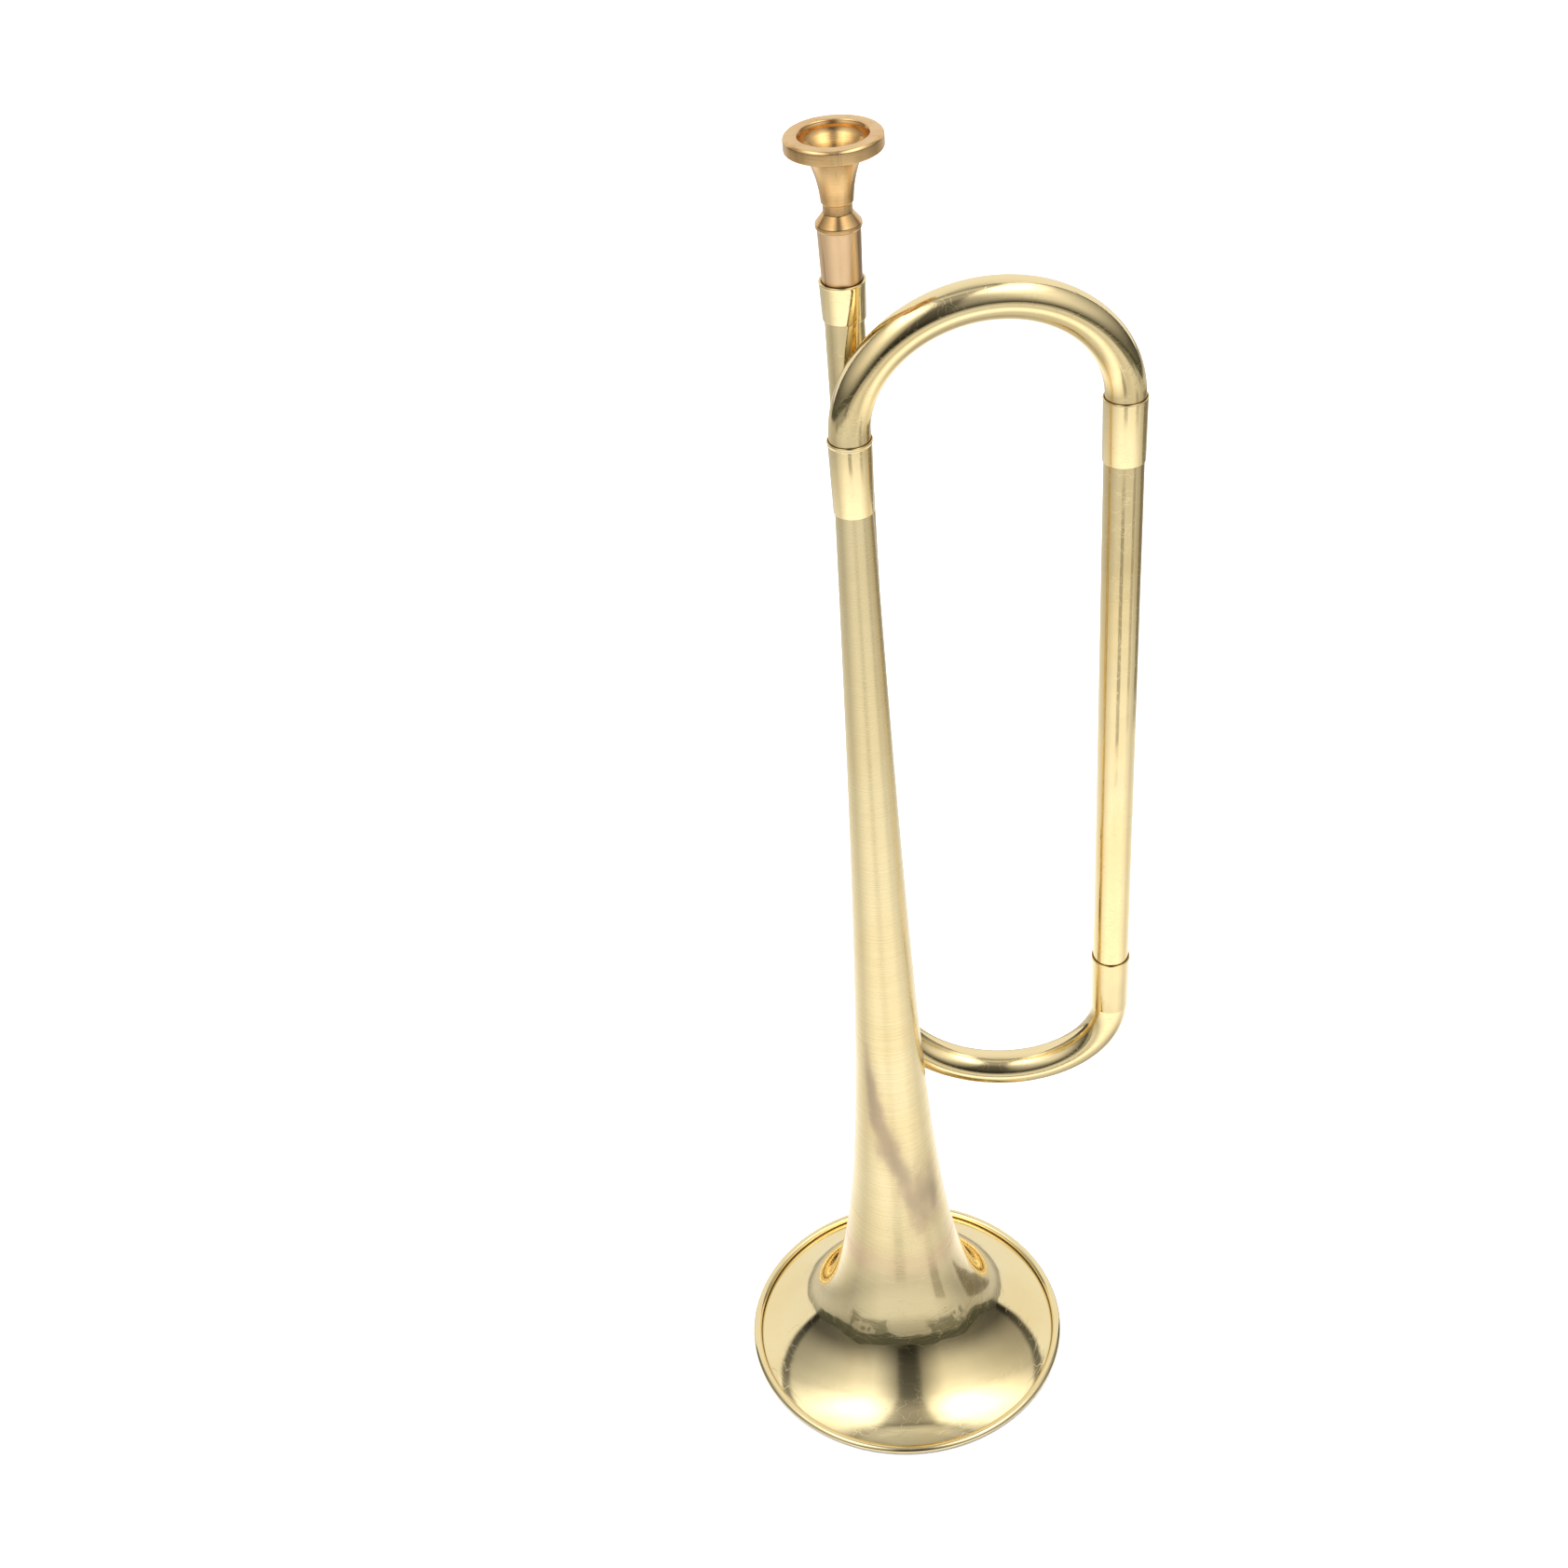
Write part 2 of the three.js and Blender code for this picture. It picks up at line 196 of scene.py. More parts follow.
def swept(name, line, outer, inner, material, body="horn"):
    """Tube along a flat curve of points, open at both ends."""
    points = [Vector(point) for point in line]
    side = (points[-1] - points[0])
    side = Vector((side.x, side.y, 0)).normalized()
    across = side.cross(Vector((0, 0, 1)))
    lengths = [0.0]
    for before, after in zip(points, points[1:]):
        lengths.append(lengths[-1] + (after - before).length)
    tangents = [(points[min(i + 1, len(points) - 1)] - points[max(i - 1, 0)]).normalized()
                for i in range(len(points))]
    rings, tube = [], []

    def ring(index, radius):
        normal = across.cross(tangents[index])
        angles = [2 * pi * turn / TUBE_SIDES for turn in range(TUBE_SIDES)]
        rings.append([points[index] + radius * (cos(a) * across + sin(a) * normal) for a in angles])
        tube.append([(radius * cos(a), radius * sin(a), lengths[index]) for a in angles])

    for index in range(len(points)):
        ring(index, outer)
    for index in reversed(range(len(points))):
        ring(index, inner)
    return mesh_piece(name, [name], body, material, rings, True, None, tube)


def bow_line(start, end, spring, rise, start_height, end_height):
    """Half an ellipse between two straight legs."""
    half_span = (end - start).length / 2
    bend = pi * (half_span + abs(rise)) / 2
    line = [Vector((start.x, start.y, start_height)).lerp(Vector((start.x, start.y, spring)), share / 4)
            for share in range(4)]
    steps = round(BOW_STEPS * bend / (bend + 2 * TUBE_RADIUS))
    for step in range(steps + 1):
        angle = pi * step / steps
        middle = start.lerp(end, (1 - cos(angle)) / 2)
        line.append(Vector((middle.x, middle.y, spring + rise * sin(angle))))
    line += [Vector((end.x, end.y, spring)).lerp(Vector((end.x, end.y, end_height)), share / 4)
             for share in range(1, 5)]
    return line


# ---- node helpers -----------------------------------------------------------------------------------
class Graph:
    """Short calls that add shader nodes and join them up."""

    def __init__(self, tree):
        self.tree = tree
        tree.nodes.clear()

    def add(self, kind, inputs=None, **settings):
        node = self.tree.nodes.new(kind)
        for key, value in settings.items():
            setattr(node, key, value)
        for key, value in (inputs or {}).items():
            self.put(node.inputs[key], value)
        return node

    def put(self, socket, value):
        if isinstance(value, bpy.types.NodeSocket):
            self.tree.links.new(value, socket)
        else:
            socket.default_value = value

    def math(self, operation, *values):
        return self.add("ShaderNodeMath", dict(enumerate(values)), operation=operation).outputs[0]

    def ramp(self, value, *stops):
        """Stops are (place, grey)."""
        node = self.add("ShaderNodeValToRGB", {0: value})
        elements = node.color_ramp.elements
        while len(elements) < len(stops):
            elements.new(0.5)
        for element, (place, grey) in zip(elements, stops):
            element.position = place
            element.color = (grey, grey, grey, 1)
        return node.outputs[0]

    def between(self, value, low, high, out_low=0.0, out_high=1.0):
        inputs = {"Value": value, "From Min": low, "From Max": high, "To Min": out_low, "To Max": out_high}
        node = self.add("ShaderNodeMapRange", inputs, interpolation_type="SMOOTHSTEP")
        return node.outputs[0]

    def window(self, value, middle, half, edge):
        """1 within half of middle, falling to 0 over edge."""
        away = self.math("ABSOLUTE", self.math("SUBTRACT", value, middle))
        return self.between(away, half, half + edge, 1.0, 0.0)

    def mix(self, factor, a, b, blend="MIX"):
        node = self.add("ShaderNodeMix", data_type="RGBA", blend_type=blend)
        for index, value in ((0, factor), (6, a), (7, b)):
            value = (*value, 1) if isinstance(value, tuple) else value
            self.put(node.inputs[index], value)
        return node.outputs[2]

    def noise(self, vector, scale, detail=3.0, stretch=(1, 1, 1), roughness=0.5, offset=(0, 0, 0)):
        place = self.add("ShaderNodeMapping", {"Vector": vector, "Scale": stretch, "Location": offset})
        inputs = {"Vector": place.outputs[0], "Scale": scale, "Detail": detail, "Roughness": roughness}
        return self.add("ShaderNodeTexNoise", inputs).outputs[0]


class Metal(Graph):
    """A metal's graph: its place on the straightened tube, and a principled shader at the end."""

    def __init__(self, name):
        self.material = bpy.data.materials.new(name)
        self.material.use_nodes = True
        super().__init__(self.material.node_tree)
        self.place = self.add("ShaderNodeAttribute", attribute_name="tube").outputs["Vector"]
        self.height = self.add("ShaderNodeSeparateXYZ", {0: self.place}).outputs[2]

    def crevice(self, distance):
        return self.add("ShaderNodeAmbientOcclusion", {"Distance": distance}, samples=6).outputs["AO"]

    def scratches(self, scale, stretch, width=0.02):
        """Fine lines: the places where a stretched noise passes its middle value."""
        lines = self.noise(self.place, scale, 2.0, stretch, 0.6)
        return self.window(lines, 0.5, 0.0, width)

    def inside_cup(self, radius):
        """1 on the cup's wall and in the bore, which face the axis; 0 on the back of the mouthpiece."""
        spoke = self.add("ShaderNodeVectorMath", {0: self.place, 1: (1, 1, 0)}, operation="MULTIPLY")
        normal = self.add("ShaderNodeTexCoord").outputs["Normal"]
        dot = self.add("ShaderNodeVectorMath", {0: spoke.outputs[0], 1: normal}, operation="DOT_PRODUCT")
        outward = dot.outputs["Value"]
        return self.between(self.math("DIVIDE", outward, radius), -0.3, -0.1, 1.0, 0.0)

    def close(self, colour, roughness, *bumps):
        """Bumps are (height, strength, distance)."""
        inputs = {"Base Color": colour, "Roughness": roughness, "Metallic": 1.0}
        shader = self.add("ShaderNodeBsdfPrincipled", inputs)
        normal = None
        for height, strength, distance in bumps:
            settings = {"Height": height, "Strength": strength, "Distance": distance}
            if normal is not None:
                settings["Normal"] = normal
            normal = self.add("ShaderNodeBump", settings).outputs[0]
        if normal is not None:
            self.put(shader.inputs["Normal"], normal)
        self.add("ShaderNodeOutputMaterial", {"Surface": shader.outputs[0]})
        return self.material


# ---- materials --------------------------------------------------------------------------------------
BRASS_PALE = (0.94, 0.77, 0.43)
BRASS_DEEP = (0.90, 0.70, 0.35)
# Brown of the painted shade in the crevices.
PAINTED_SHADE_BROWN = (0.14, 0.07, 0.03)
# Heights up the bell, in metres.
MIRROR_TOP = 0.044
SATIN_FOOT = 0.058
BLUSH_HEIGHT = 0.054
TINT_DIP_HEIGHT = 0.083
TINT_HALF_HEIGHT = 0.019
# The tint's lowest point, round the stem from its front, in radians, and its climb to each side of that.
TINT_DIP_ANGLE = 0.35
TINT_LEFT_CLIMB = 0.047
TINT_RIGHT_CLIMB = 0.006


def polished_brass():
    """Drawn tube, buffed: faint cloudy tone, hairlines along it, and painted shade, brown, in the crevices.
    """
    metal = Metal("polished_brass")
    cloud = metal.noise(metal.place, 55, 4.0, (1, 1, 0.5))
    colour = metal.mix(metal.between(cloud, 0.35, 0.7), BRASS_PALE, BRASS_DEEP)
    # Painted shade: brown where ambient occlusion finds a crevice, as at the ferrule lips; a little duller
    # there too.
    crevice_shade = metal.between(metal.crevice(0.0014), 0.3, 0.85, 1.0, 0.0)
    colour = metal.mix(crevice_shade, colour, PAINTED_SHADE_BROWN)
    hairs = metal.scratches(900, (1, 1, 0.06))
    nicks = metal.scratches(260, (1, 0.5, 1), 0.006)
    smudge = metal.noise(metal.place, 90, 5.0, (1, 1, 0.7), 0.6, (3, 1, 2))
    dull = metal.between(smudge, 0.42, 0.72, 0.05, 0.13)
    dull = metal.math("ADD", dull, metal.math("MULTIPLY", hairs, 0.07))
    dull = metal.math("ADD", dull, metal.math("MULTIPLY", crevice_shade, 0.3))
    dents = metal.noise(metal.place, 70, 1.0, (1, 1, 0.8))
    return metal.close(colour, dull, (dents, 0.25, 0.0006), (hairs, 0.03, 0.0001), (nicks, 0.12, 0.0001))


def bell_brass():
    """Spun sheet: satin and tarnished on the stem, buffed to a mirror on the flare."""
    metal = Metal("bell_brass")
    flare = metal.between(metal.height, MIRROR_TOP, SATIN_FOOT, 1.0, 0.0)
    cloud = metal.noise(metal.place, 38, 5.0, (1, 1, 0.8))
    colour = metal.mix(metal.between(cloud, 0.35, 0.7), (0.92, 0.77, 0.44), (0.89, 0.72, 0.385))
    blush = metal.window(metal.height, BLUSH_HEIGHT, 0.002, 0.006)
    blush = metal.math("MULTIPLY", blush, metal.between(cloud, 0.3, 0.6))
    colour = metal.mix(metal.math("MULTIPLY", blush, 0.5), colour, (0.88, 0.60, 0.40))
    warm = metal.between(metal.noise(metal.place, 17, 3.0, (1, 1, 0.5), 0.5, (1, 4, 2)), 0.5, 0.7, 0.0, 0.5)
    warm = metal.math("MULTIPLY", warm, metal.between(flare, 0, 1, 1, 0))
    colour = metal.mix(warm, colour, (0.88, 0.66, 0.38))
    tarnish = heat_tint(metal)
    colour = metal.mix(metal.math("MULTIPLY", tarnish, 0.5), colour, (0.66, 0.47, 0.29))
    core = metal.between(tarnish, 0.3, 1.0, 0.0, 0.42)
    colour = metal.mix(core, colour, (0.30, 0.235, 0.20))
    # Painted shade: brown where ambient occlusion finds a crevice, as under the bell ferrule.
    crevice_shade = metal.between(metal.crevice(0.0015), 0.2, 0.75, 1.0, 0.0)
    colour = metal.mix(crevice_shade, colour, PAINTED_SHADE_BROWN)
    hoops = metal.noise(metal.place, 22, 3.0, (1, 1, 130), 0.6)
    fine = metal.scratches(300, (0.06, 0.06, 7), 0.02)
    satin = metal.between(hoops, 0.3, 0.7, 0.19, 0.30)
    dull = metal.math("MULTIPLY", satin, metal.between(flare, 0.0, 1.0, 1.0, 0.22))
    dull = metal.math("ADD", dull, metal.math("MULTIPLY", tarnish, 0.12))
    lines = metal.math("MULTIPLY", hoops, metal.between(flare, 0.0, 1.0, 1.0, 0.04))
    wave = metal.noise(metal.place, 48, 2.0, (1, 1, 1), 0.5, (1, 7, 3))
    nicks = metal.scratches(110, (1, 0.7, 2.5), 0.0035)
    return metal.close(colour, dull, (wave, 0.10, 0.0010), (lines, 0.13, 0.0001), (fine, 0.04, 0.00008),
                       (nicks, 0.10, 0.0001))


def heat_tint(metal):
    """Smoky tint left by soldering: a soft band that dips across the front of the stem."""
    east, north, height = metal.add("ShaderNodeSeparateXYZ", {0: metal.place}).outputs
    round_stem = metal.math("ARCTAN2", east, metal.math("MULTIPLY", north, -1.0))
    from_dip = metal.math("SUBTRACT", round_stem, TINT_DIP_ANGLE)
    left = metal.math("MAXIMUM", metal.math("MULTIPLY", from_dip, -1.0), 0.0)
    left = metal.math("MULTIPLY", left, TINT_LEFT_CLIMB)
    right = metal.math("MULTIPLY", metal.math("MAXIMUM", from_dip, 0.0), TINT_RIGHT_CLIMB)
    middle = metal.math("ADD", metal.math("ADD", left, right), TINT_DIP_HEIGHT)
    cloud = metal.noise(metal.place, 60, 4.0, (1, 1, 0.6), 0.6, (2, 3, 1))
    away = metal.math("DIVIDE", metal.math("SUBTRACT", height, middle), TINT_HALF_HEIGHT)
    away = metal.math("ADD", away, metal.math("MULTIPLY", metal.math("SUBTRACT", cloud, 0.5), 2.0))
    band = metal.between(metal.math("ABSOLUTE", away), 0.0, 1.6, 1.0, 0.0)
    patch = metal.noise(metal.place, 34, 3.0, (1, 1, 0.6), 0.5, (6, 1, 4))
    tint = metal.math("MULTIPLY", band, metal.between(patch, 0.3, 0.6, 0.7, 1.0))
    return metal.math("MULTIPLY", tint, metal.window(from_dip, -0.25, 0.75, 0.45))


def turned_brass():
    """Lathe-turned: fine tool rings, a warm tone, pinker and duller down the shank, dark streaks, and a
    painted orange reflection inside the cup.
    """
    metal = Metal("turned_brass")
    shank = metal.between(metal.height, (RIM_TOP - SHOULDER_BELOW_RIM - 0.5) * MM,
                          (RIM_TOP - SHOULDER_BELOW_RIM + 0.8) * MM, 1.0, 0.0)
    east, north = metal.add("ShaderNodeSeparateXYZ", {0: metal.place}).outputs[:2]
    squares = metal.math("ADD", metal.math("MULTIPLY", east, east), metal.math("MULTIPLY", north, north))
    radius = metal.math("SQRT", squares)
    # Mask for a painted reflection: the rim's inner edge and the cup walls that face the axis, where brass
    # reflects brass.
    lip = metal.math("MULTIPLY",
                     metal.between(radius, (CUP_RADIUS - 0.3) * MM, (CUP_RADIUS + 0.1) * MM, 1.0, 0.0),
                     metal.between(metal.height, (RIM_TOP - 2.5) * MM, (RIM_TOP - 0.3) * MM, 0.0, 1.0))
    deep = metal.between(metal.math("MULTIPLY_ADD", metal.height, -1.0, RIM_TOP * MM), 0.0, 0.011)
    cup = metal.math("MAXIMUM", lip, metal.math("MULTIPLY", deep, metal.inside_cup(radius)))
    cloud = metal.noise(metal.place, 150, 4.0, (1, 1, 0.4))
    colour = metal.mix(metal.between(cloud, 0.35, 0.7), (0.80, 0.54, 0.25), (0.74, 0.45, 0.185))
    # Painted reflection: deep orange inside the cup; the cup is also a little duller below.
    colour = metal.mix(metal.math("MULTIPLY", cup, 0.85), colour, (0.95, 0.47, 0.08))
    colour = metal.mix(metal.math("MULTIPLY", shank, 0.7), colour, (0.97, 0.69, 0.42))
    streak = metal.noise(metal.place, 300, 3.0, (1, 1, 0.05), 0.6, (2, 5, 1))
    streak = metal.math("MULTIPLY", metal.between(streak, 0.56, 0.68), metal.between(shank, 0, 1, 0.3, 0.75))
    colour = metal.mix(streak, colour, (0.40, 0.25, 0.14))
    # Painted shade: brown where ambient occlusion finds a crevice, such as the groove and the shank's joint.
    crevice_shade = metal.between(metal.crevice(0.0014), 0.2, 0.8, 1.0, 0.0)
    colour = metal.mix(crevice_shade, colour, PAINTED_SHADE_BROWN)
    rings = metal.noise(metal.place, 30, 3.0, (1, 1, 120), 0.7)
    pits = metal.between(metal.noise(metal.place, 1400, 2.0), 0.66, 0.74)
    dull = metal.between(rings, 0.3, 0.7, 0.16, 0.27)
    dull = metal.math("ADD", dull, metal.math("MULTIPLY", metal.math("MAXIMUM", shank, cup), 0.12))
    return metal.close(colour, dull, (rings, 0.30, 0.0001), (pits, 0.2, 0.00005))


def soft_solder():
    metal = Metal("solder")
    cloud = metal.noise(metal.place, 600, 4.0)
    colour = metal.mix(metal.between(cloud, 0.3, 0.7), (0.50, 0.53, 0.56), (0.30, 0.31, 0.33))
    dull = metal.between(cloud, 0.3, 0.7, 0.32, 0.55)
    return metal.close(colour, dull, (cloud, 0.4, 0.0004))


def drawn_wire():
    metal = Metal("rim_wire")
    grain = metal.noise(metal.place, 500, 3.0, (0.2, 0.2, 6))
    colour = metal.mix(metal.between(grain, 0.3, 0.7), (0.20, 0.16, 0.12), (0.09, 0.07, 0.05))
    return metal.close(colour, metal.between(grain, 0.3, 0.7, 0.4, 0.6), (grain, 0.3, 0.0001))


# ---- bell -------------------------------------------------------------------------------------------
curl_radius = CURL_HEIGHT - WALL / 2
flare_foot = CURL_HEIGHT + curl_radius * sin(radians(CURL_START))


def flare_middle(height):
    above = height - flare_foot
    return FLARE_RADIUS * (1 + above / FLARE_LENGTH) ** -FLARE_EXPONENT - STEM_TAPER * above


def bell_outer(height):
    return flare_middle(height) + WALL / 2


def bell_outline():
    """Both faces of the sheet, offset from its mid-wall line down the flare and round the roll."""
    stations = 110
    line = []
    for station in range(stations, 0, -1):
        height = flare_foot + (BELL_TOP - flare_foot) * (station / stations) ** 2.6
        line.append(Vector((flare_middle(height), height)))
    for angle in range(CURL_START, CURL_END + 1, 10):
        turn = radians(angle)
        line.append(Vector((CURL_CENTRE_RADIUS + curl_radius * cos(turn),
                            CURL_HEIGHT + curl_radius * sin(turn))))
    inner, outer = [], []
    for index, point in enumerate(line):
        ahead = line[min(index + 1, len(line) - 1)] - line[max(index - 1, 0)]
        normal = Vector((-ahead.y, ahead.x)).normalized() * WALL / 2
        inner.append(tuple(point - normal))
        outer.append(tuple(point + normal))
    return inner + outer[::-1]


def bell(material):
    turned("bell", bell_outline(), upright(BELL_AXIS), material, BELL_SIDES,
           nodes=["bell_flare", "bell_stem"])


def rim_wire(material):
    sides = 20
    angles = [2 * pi * side / sides for side in range(sides)]
    outline = [(CURL_CENTRE_RADIUS + WIRE_RADIUS * cos(angle), CURL_HEIGHT + WIRE_RADIUS * sin(angle))
               for angle in angles]
    turned("rim_wire", outline, upright(BELL_AXIS), material, BELL_SIDES)


# ---- loop of tube -----------------------------------------------------------------------------------
def bows(material):
    lead = LEAD_FOOT.xy
    top = bow_line(BELL_AXIS, RETURN_AXIS, TOP_BOW_SPRING, TOP_BOW_RISE,
                   BELL_TOP + JOINT_GAP, RETURN_TOP + JOINT_GAP)
    bottom = bow_line(lead, RETURN_AXIS, BOTTOM_BOW_SPRING, -BOTTOM_BOW_DROP,
                      LEAD_FOOT_HEIGHT, RETURN_FOOT - JOINT_GAP)
    inner = TUBE_RADIUS - WALL
    swept("top_bow", top, TUBE_RADIUS, inner, material)
    swept("bottom_bow", bottom, TUBE_RADIUS, inner, material)


def straight_tube(name, radius, foot, top, place, material):
    inner = radius - WALL
    levels = [foot + (top - foot) * step / 24 for step in range(25)]
    outline = [(inner, level) for level in reversed(levels)] + [(radius, level) for level in levels]
    turned(name, outline, place, material)


def ferrule(name, foot_radius, place, material, bore_foot=None):
    """Sleeve that widens upwards to a thin turned lip."""
    foot, top = box_range(name)
    bore = TUBE_RADIUS + CLEARANCE
    below_lip = foot_radius + 0.6 * (LIP_RADIUS - foot_radius)
    outline = [(bore_foot or bore, foot), (foot_radius, foot), (below_lip, top - 1.1),
               (LIP_RADIUS, top - 0.45), (LIP_RADIUS, top), (bore, top)]
    if bore_foot:
        shoulder = BELL_TOP + JOINT_GAP / 2
        outline += [(bore, shoulder), (bore_foot, shoulder)]
    turned(name, softened(outline, 0.14), place, material)


def ferrules(material):
    ferrule("upper_right_ferrule", FERRULE_FOOT_RADIUS, upright(RETURN_AXIS), material)
    ferrule("lower_right_ferrule", FERRULE_FOOT_RADIUS, upright(RETURN_AXIS), material)
    ferrule("lower_left_ferrule", FERRULE_FOOT_RADIUS, upright(LEAD_FOOT.xy), material)
    foot = box_range("bell_ferrule")[0]
    ferrule("bell_ferrule", BELL_FERRULE_FOOT_RADIUS, upright(BELL_AXIS), material,
            bell_outer(foot) + CLEARANCE)


# ---- receiver and mouthpiece: heights run up the leaning leadpipe -------------------------------------
def shank_radius(height):
    return LEADPIPE_RADIUS - 0.12 + 0.025 * (height - (RECEIVER_TOP - SHANK_DEPTH))


def receiver(material):
    foot = RECEIVER_TOP - RECEIVER_LENGTH
    bore = LEADPIPE_RADIUS + CLEARANCE
    outline = [(bore, foot), (RECEIVER_FOOT_RADIUS, foot), (LIP_RADIUS - 0.12, RECEIVER_TOP - 1.0),
               (LIP_RADIUS, RECEIVER_TOP - 0.4), (LIP_RADIUS, RECEIVER_TOP),
               (shank_radius(RECEIVER_TOP) + CLEARANCE, RECEIVER_TOP), (bore, LEAD_TOP + JOINT_GAP)]
    turned("receiver_ferrule", softened(outline, 0.14), LEAD_PLACE, material)


def mouthpiece(material):
    """Rim, cup, concave back, fine groove, neck, chamfered shoulder and tapered shank."""
    def below(*points):
        return [(radius, RIM_TOP - distance) for radius, distance in points]

    shank_end = RECEIVER_TOP - SHANK_DEPTH
    shoulder = RIM_TOP - SHOULDER_BELOW_RIM
    shank = [(THROAT_RADIUS + 1.5, shank_end), (shank_radius(shank_end) - 0.2, shank_end),
             (shank_radius(shank_end + 0.4), shank_end + 0.4), (shank_radius(shoulder), shoulder)]
    ring = [(5.95, shoulder + 0.3), (5.95, shoulder + 1.3)]
    neck = below((3.8, 19.6), (3.7, 17.2), (4.15, 16.95), (4.15, 16.5))
    back = through(below((4.2, 16.2), (4.5, 13.6), (5.1, 10.6), (6.1, 7.4), (7.4, 4.6), (8.5, 3.75)))
    rim = below((12.15, 3.7), (MOUTH_RADIUS, 3.4), (MOUTH_RADIUS, 0.55), (MOUTH_FLAT_RADIUS, 0),
                (CUP_RADIUS + 0.4, 0), (CUP_RADIUS + 0.05, 0.35))
    cup = through(below((CUP_RADIUS - 0.12, 1.0), (8.45, 1.9), (8.0, 2.8), (7.2, 3.7), (6.1, 4.9),
                        (5.1, 6.7), (4.2, 8.9), (3.1, 11.4), (2.2, 13.6),
                        (THROAT_RADIUS, 15.6), (THROAT_RADIUS, 21)))
    outline = softened(shank + ring + neck, 0.16)[:-1] + back + softened(rim, 0.22, 4)[1:] + cup
    turned("mouthpiece", outline, LEAD_PLACE, material, 128, "mouthpiece")


# ---- solder -----------------------------------------------------------------------------------------
def solder_drop(name, material):
    """A wiped drop that fills the CAD node's box."""
    low, high = (Vector(corner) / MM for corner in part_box(name))
    middle, half = (low + high) / 2, (high - low) / 2
    turns, levels = 48, 28
    rings = []
    for level in range(levels + 1):
        tilt = pi * (level / levels - 0.5)
        lumps = 1 + 0.05 * sin(5 * tilt)
        wide = max(cos(tilt), 0.02) * lumps
        rings.append([(middle.x + half.x * wide * cos(2 * pi * turn / turns),
                       middle.y + half.y * wide * sin(2 * pi * turn / turns),
                       middle.z + half.z * sin(tilt)) for turn in range(turns)])
    mesh_piece(name, [name], "horn", material, rings, False)


# ---- stage ------------------------------------------------------------------------------------------
GAP_TO_WEST = 0.03           # how far the soft boxes' gap is off the front, on the unit sphere


def floor():
    half, drop = 4.0, 0.0003
    mesh = bpy.data.meshes.new("floor")
    corners = [(-half, -half, -drop), (half, -half, -drop), (half, half, -drop), (-half, half, -drop)]
    mesh.from_pydata(corners, [], [(0, 1, 2, 3)])
    material = bpy.data.materials.new("floor")
    material.use_nodes = True
    graph = Graph(material.node_tree)
    place = graph.add("ShaderNodeTexCoord").outputs["Object"]
    tone = graph.between(graph.noise(place, 6), 0.2, 0.8, 0.93, 0.96)
    shader = graph.add("ShaderNodeBsdfDiffuse", {"Color": tone})
    graph.add("ShaderNodeOutputMaterial", {"Surface": shader.outputs[0]})
    mesh.materials.append(material)
    plane = bpy.data.objects.new("floor", mesh)
    plane.visible_glossy = False
    bpy.context.scene.collection.objects.link(plane)


def soft_light(name, place, size, power):
    light = bpy.data.lights.new(name, "AREA")
    light.shape = "DISK"
    light.size = size
    light.energy = power
    lamp = bpy.data.objects.new(name, light)
    lamp.location = place
    lamp.rotation_euler = (-Vector(place)).to_track_quat("-Z", "Y").to_euler()
    lamp.visible_glossy = False
    bpy.context.scene.collection.objects.link(lamp)


def ground_light(graph, climb, aside):
    """What the brass sees below the horizon: brighter towards the floor's near part, dim to the sides."""
    down = graph.math("MULTIPLY", climb, -1.0)
    ground = graph.ramp(down, (0.0, 0.34), (0.08, 0.42), (0.14, 0.50), (0.20, 0.80), (0.26, 0.80),
                        (0.31, 0.68), (0.345, 0.76), (0.375, 0.98), (0.42, 1.22), (0.48, 1.48), (0.56, 1.25),
                        (0.68, 0.74), (1.0, 0.6))
    around = graph.ramp(aside, (0.22, 1.0), (0.38, 0.80), (0.50, 0.62), (0.64, 0.70), (0.80, 0.84),
                        (1.0, 0.88))
    return graph.math("MULTIPLY", ground, around)


def room_light(graph, east, up, climb, aside):
    """What it sees above: two soft boxes with a gap between them, a dim room, and a white tent behind."""
    lamps = graph.ramp(climb, (0.0, 0.22), (0.05, 0.34), (0.14, 0.60), (0.22, 0.80), (0.36, 1.0),
                       (0.50, 1.4), (0.60, 2.8), (0.66, 3.8), (0.76, 3.8), (0.83, 1.2), (0.88, 0.6),
                       (0.98, 0.45))
    around = graph.ramp(aside, (0.22, 1.0), (0.31, 0.95), (0.38, 0.80), (0.46, 0.66), (0.56, 0.50),
                        (0.635, 0.42), (0.65, 0.12), (0.67, 0.12), (0.685, 0.95))
    level = graph.math("SQRT", graph.math("MULTIPLY_ADD", graph.math("MULTIPLY", up, -1.0), up, 1.0))
    across = graph.math("DIVIDE", graph.math("ABSOLUTE", graph.math("ADD", east, GAP_TO_WEST)),
                        graph.math("MAXIMUM", level, graph.math("ABSOLUTE", up)))
    gap = graph.ramp(across, (0.09, 0.10), (0.17, 0.14), (0.25, 0.38), (0.42, 0.68), (0.6, 1.0))
    gap = graph.math("MAXIMUM", gap, graph.between(climb, 0.78, 0.88))
    room = graph.math("MULTIPLY", lamps, graph.math("MULTIPLY", around, gap))
    tent = graph.ramp(climb, (0.0, 0.92), (0.45, 0.95), (0.75, 0.85), (1.0, 0.3))
    return graph.mix(graph.between(aside, 0.67, 0.69), room, tent)


def shade(graph, light, colour, strength, *masks):
    """The light with a darker thing in it, where all the masks are 1."""
    mask = masks[0]
    for other in masks[1:]:
        mask = graph.math("MULTIPLY", mask, other)
    if strength is not None:
        mask = graph.math("MULTIPLY", mask, strength)
    return graph.mix(mask, light, colour)


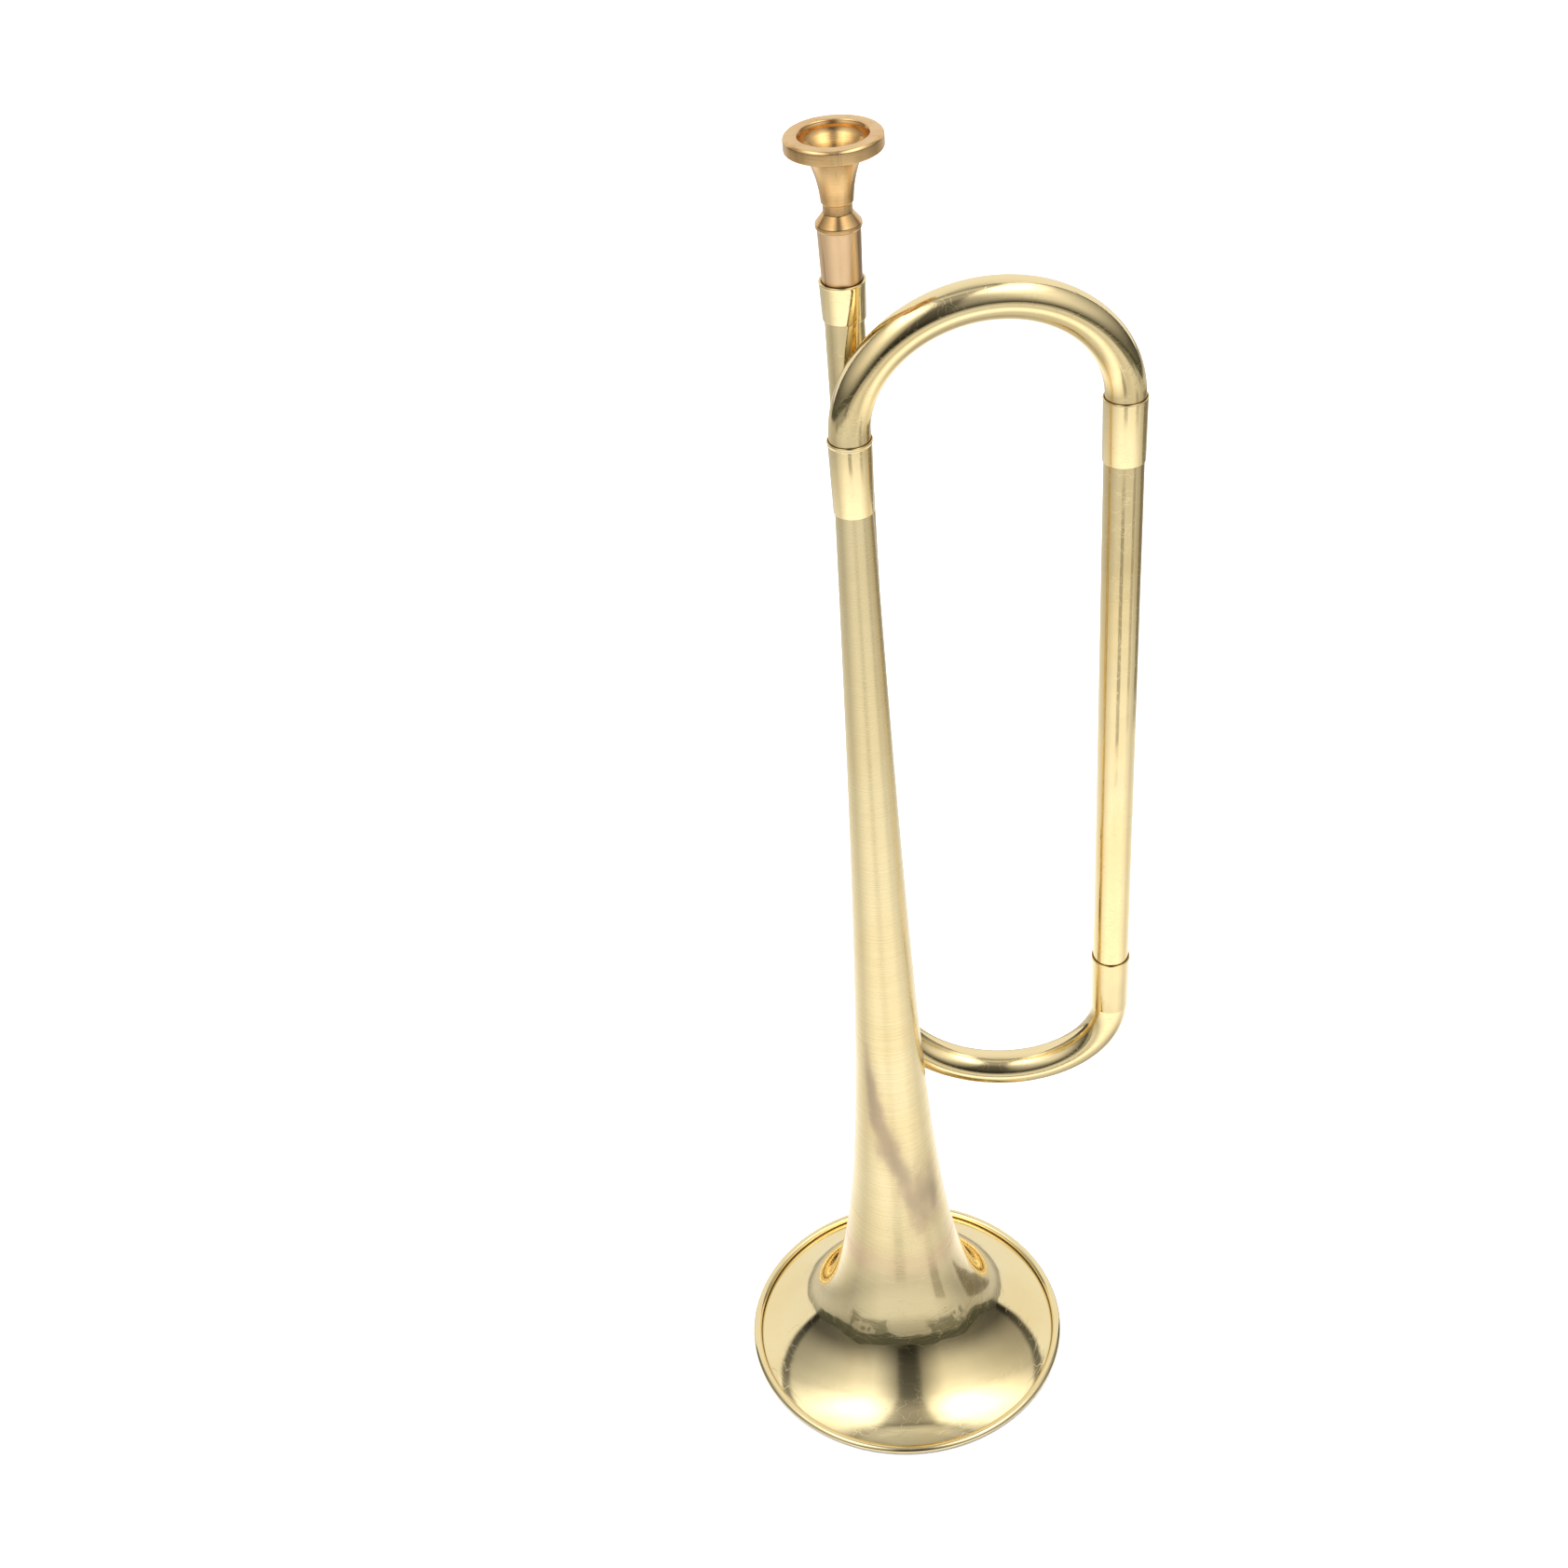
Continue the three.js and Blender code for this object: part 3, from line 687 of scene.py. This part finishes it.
def studio():
    """Soft light from above, and what the brass reflects. The camera itself sees white all round.
    climb is the elevation in right angles, turn the azimuth from the front in half turns."""
    world = bpy.data.worlds.new("studio")
    bpy.context.scene.world = world
    world.use_nodes = True
    graph = Graph(world.node_tree)
    way = graph.add("ShaderNodeTexCoord").outputs["Generated"]
    east, north, up = graph.add("ShaderNodeSeparateXYZ", {0: way}).outputs
    climb = graph.math("DIVIDE", graph.math("ARCSINE", up), pi / 2)
    turn = graph.math("DIVIDE", graph.math("ARCTAN2", east, graph.math("MULTIPLY", north, -1.0)), pi)
    aside = graph.math("ABSOLUTE", turn)
    wobble = graph.math("SUBTRACT", graph.noise(way, 1.7, 1.0, (1, 1, 1.5), 0.5), 0.5)
    sink = graph.between(aside, 0.30, 0.55, 0.0, 0.09)
    ragged = graph.math("ADD", graph.math("ADD", climb, sink), graph.math("MULTIPLY", wobble, 0.10))

    light = graph.mix(graph.between(ragged, -0.030, -0.022), ground_light(graph, climb, aside),
                      room_light(graph, east, up, climb, aside))
    light = shade(graph, light, (0.06, 0.065, 0.05), None, graph.window(ragged, -0.054, 0.034, 0.008),
                  graph.between(aside, 0.66, 0.70, 0.9, 0.0))
    clutter = graph.between(graph.noise(way, 3.0, 2.0, (1, 1, 2.0), 0.6, (4, 2, 1)), 0.46, 0.49)
    light = shade(graph, light, (0.12, 0.13, 0.09), 0.7, clutter,
                  graph.window(ragged, -0.135, 0.035, 0.02), graph.window(aside, 0.30, 0.13, 0.05))
    front = graph.window(graph.math("MULTIPLY_ADD", wobble, 0.25, turn), -0.02, 0.045, 0.02)
    light = shade(graph, light, (0.10, 0.11, 0.08), 0.55, front, graph.window(climb, -0.365, 0.03, 0.015))
    low = graph.window(climb, -0.325, 0.055, 0.02)
    light = shade(graph, light, (0.14, 0.11, 0.07), 0.4, graph.window(turn, 0.31, 0.035, 0.02), low)
    light = shade(graph, light, (0.16, 0.14, 0.10), 0.8, graph.window(turn, 0.665, 0.09, 0.04), low)
    seen = graph.add("ShaderNodeLightPath").outputs["Is Camera Ray"]
    light = graph.mix(seen, light, (1.0, 1.0, 1.0))
    background = graph.add("ShaderNodeBackground", {"Color": light})
    graph.add("ShaderNodeOutputWorld", {"Surface": background.outputs[0]})
    soft_light("key_light", (-0.9, -0.7, 1.9), 1.6, 22)
    sky_light()
    soft_light("fill_light", (1.1, 0.2, 1.8), 1.8, 16)


def sky_light():
    """Broad light straight down, so that the floor is white to its edges."""
    light = bpy.data.lights.new("sky_light", "SUN")
    light.angle = 1.4
    light.energy = 1.8
    lamp = bpy.data.objects.new("sky_light", light)
    lamp.visible_glossy = False
    bpy.context.scene.collection.objects.link(lamp)


def camera():
    """Above and in front of the bugle, looking down on it, with a slight tilt of the horizon."""
    place = Vector((-0.02509, -0.48213, 0.61352))
    pitch, yaw, roll = 0.6659, -0.0277, -0.0985
    lens = bpy.data.cameras.new("camera")
    lens.sensor_width = 36
    lens.lens = 47.36
    lens.shift_y = 0.0297
    lens.clip_start = 0.01
    ahead = Vector((sin(yaw) * cos(pitch), cos(yaw) * cos(pitch), -sin(pitch)))
    right = ahead.cross(Vector((0, 0, 1))).normalized()
    above = right.cross(ahead)
    tilted = cos(roll) * right + sin(roll) * above
    raised = cos(roll) * above - sin(roll) * right
    turn = Matrix((tilted, raised, -ahead)).transposed().to_4x4()
    view = bpy.data.objects.new("camera", lens)
    view.matrix_world = Matrix.Translation(place) @ turn
    bpy.context.scene.collection.objects.link(view)
    bpy.context.scene.camera = view


# ---- assembly ---------------------------------------------------------------------------------------
bpy.context.scene.view_settings.view_transform = "Standard"
camera()
studio()
floor()
brass = polished_brass()
bell(bell_brass())
rim_wire(drawn_wire())
bows(brass)
straight_tube("return_tube", TUBE_RADIUS, RETURN_FOOT, RETURN_TOP, upright(RETURN_AXIS), brass)
straight_tube("leadpipe", LEADPIPE_RADIUS, 0.5, LEAD_TOP, LEAD_PLACE, brass)
ferrules(brass)
receiver(brass)
mouthpiece(turned_brass())
grey = soft_solder()
solder_drop("upper_solder", grey)
solder_drop("lower_solder", grey)
